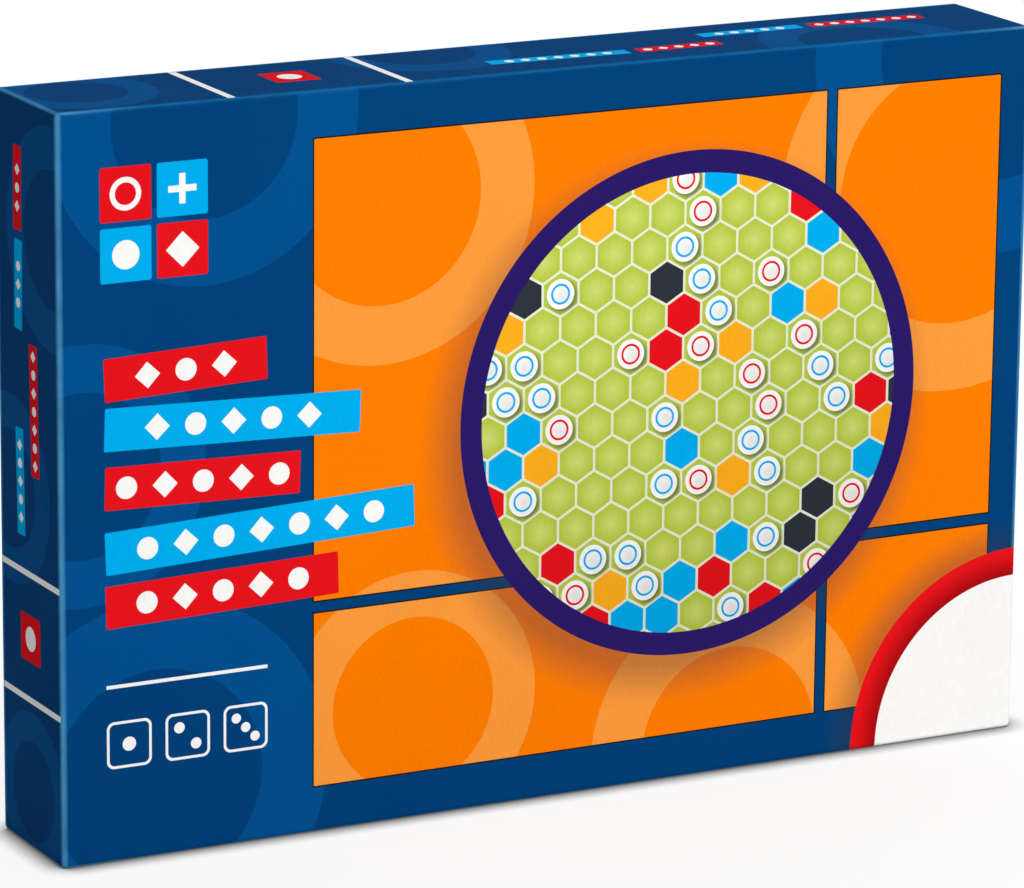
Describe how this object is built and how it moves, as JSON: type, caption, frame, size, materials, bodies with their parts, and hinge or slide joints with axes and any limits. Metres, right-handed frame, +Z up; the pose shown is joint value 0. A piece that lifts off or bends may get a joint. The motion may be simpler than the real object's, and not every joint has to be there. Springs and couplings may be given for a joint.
{
  "type": "boxed letter tile word game",
  "caption": "Upright two-piece lidded game box with a printed cover, holding a folding board, stacking letter tiles, tile racks, a formed tray and a rules leaflet.",
  "frame": {"origin": "centre of the closed box's footprint as it stands on its long side", "axes": "+Z up, +X to the right across the cover, +Y from the cover to the back"},
  "size_m": [0.365, 0.05, 0.252],
  "materials": {
    "greyboard": "raw grey board",
    "cover_print": "printed paper with a satin film",
    "base_paper": "printed paper with a satin film",
    "tray_sheet": "formed styrene sheet",
    "leaflet_paper": "uncoated paper",
    "board_print": "printed paper with a fine linen grain",
    "board_backing": "grained backing paper",
    "fold_tape": "strong paper tape, printed to match the board",
    "rack_plastic": "black moulded plastic, fine texture",
    "tile_plastic": "white moulded plastic, satin"
  },
  "bodies": {
    "base": {"base_board": "greyboard", "base_wrap": "base_paper"},
    "insert": {"insert_tray": "tray_sheet"},
    "leaflet": {"rules_leaflet": "leaflet_paper"},
    "board_lower": {"board_lower_core": "greyboard", "board_lower_face": "board_print", "board_lower_back": "board_backing", "board_hinge_tape": "fold_tape"},
    "board_upper": {"board_upper_core": "greyboard", "board_upper_face": "board_print", "board_upper_back": "board_backing"},
    "lid": {"lid_board": "greyboard", "lid_wrap": "cover_print"},
    "rack_1": {"rack_1": "rack_plastic"},
    "rack_2": {"rack_2": "rack_plastic"},
    "rack_3": {"rack_3": "rack_plastic"},
    "rack_4": {"rack_4": "rack_plastic"},
    "tile_row_1": {"tiles_a": "tile_plastic", "tiles_b": "tile_plastic", "tiles_c": "tile_plastic", "tiles_d": "tile_plastic", "tiles_e": "tile_plastic", "tiles_f": "tile_plastic", "tiles_g": "tile_plastic"},
    "tile_row_2": {"tiles_h": "tile_plastic", "tiles_i": "tile_plastic", "tiles_j": "tile_plastic", "tiles_k": "tile_plastic", "tiles_l": "tile_plastic", "tiles_m": "tile_plastic", "tiles_n": "tile_plastic"},
    "tile_row_3": {"tiles_o": "tile_plastic", "tiles_p": "tile_plastic", "tiles_q": "tile_plastic", "tiles_r": "tile_plastic", "tiles_s": "tile_plastic", "tiles_t": "tile_plastic", "tiles_u": "tile_plastic"},
    "tile_row_4": {"tiles_v": "tile_plastic", "tiles_w": "tile_plastic", "tiles_x": "tile_plastic", "tiles_y": "tile_plastic", "tiles_z": "tile_plastic", "tiles_blank": "tile_plastic"}
  },
  "joints": [
    {"name": "insert_lift", "type": "slide", "parent": "base", "child": "insert", "axis": [0, -1, 0], "range_m": [0, 0.06]},
    {"name": "board_lift", "type": "slide", "parent": "insert", "child": "board_lower", "axis": [0, -1, 0], "range_m": [0, 0.3]},
    {"name": "lid_lift", "type": "slide", "parent": "board_lower", "child": "lid", "axis": [0, -1, 0], "range_m": [0, 0.8]},
    {"name": "board_unfold", "type": "hinge", "parent": "board_lower", "child": "board_upper", "pos_m": [0, -0.0194, 0.2366], "axis": [-1, 0, 0], "range_deg": [0, 180], "deforming": ["board_hinge_tape"]},
    {"name": "leaflet_lift", "type": "slide", "parent": "insert", "child": "leaflet", "axis": [0, -1, 0], "range_m": [0, 0.275]},
    {"name": "rack_1_lift", "type": "slide", "parent": "insert", "child": "rack_1", "axis": [0, -1, 0], "range_m": [0, 0.185]},
    {"name": "rack_2_lift", "type": "slide", "parent": "insert", "child": "rack_2", "axis": [0, -1, 0], "range_m": [0, 0.185]},
    {"name": "rack_3_lift", "type": "slide", "parent": "insert", "child": "rack_3", "axis": [0, -1, 0], "range_m": [0, 0.185]},
    {"name": "rack_4_lift", "type": "slide", "parent": "insert", "child": "rack_4", "axis": [0, -1, 0], "range_m": [0, 0.185]},
    {"name": "tile_row_1_lift", "type": "slide", "parent": "insert", "child": "tile_row_1", "axis": [0, -1, 0], "range_m": [0, 0.11]},
    {"name": "tile_row_2_lift", "type": "slide", "parent": "insert", "child": "tile_row_2", "axis": [0, -1, 0], "range_m": [0, 0.11]},
    {"name": "tile_row_3_lift", "type": "slide", "parent": "insert", "child": "tile_row_3", "axis": [0, -1, 0], "range_m": [0, 0.11]},
    {"name": "tile_row_4_lift", "type": "slide", "parent": "insert", "child": "tile_row_4", "axis": [0, -1, 0], "range_m": [0, 0.11]}
  ],
  "couplings": [
    {"joint": "board_unfold", "follows": "lid_lift", "rad_per_m": 3.926},
    {"joint": "leaflet_lift", "follows": "board_lift", "ratio": 0.9},
    {"joint": "rack_1_lift", "follows": "board_lift", "ratio": 0.6},
    {"joint": "rack_2_lift", "follows": "board_lift", "ratio": 0.6},
    {"joint": "rack_3_lift", "follows": "board_lift", "ratio": 0.6},
    {"joint": "rack_4_lift", "follows": "board_lift", "ratio": 0.6},
    {"joint": "tile_row_1_lift", "follows": "board_lift", "ratio": 0.35},
    {"joint": "tile_row_2_lift", "follows": "board_lift", "ratio": 0.35},
    {"joint": "tile_row_3_lift", "follows": "board_lift", "ratio": 0.35},
    {"joint": "tile_row_4_lift", "follows": "board_lift", "ratio": 0.35}
  ]
}
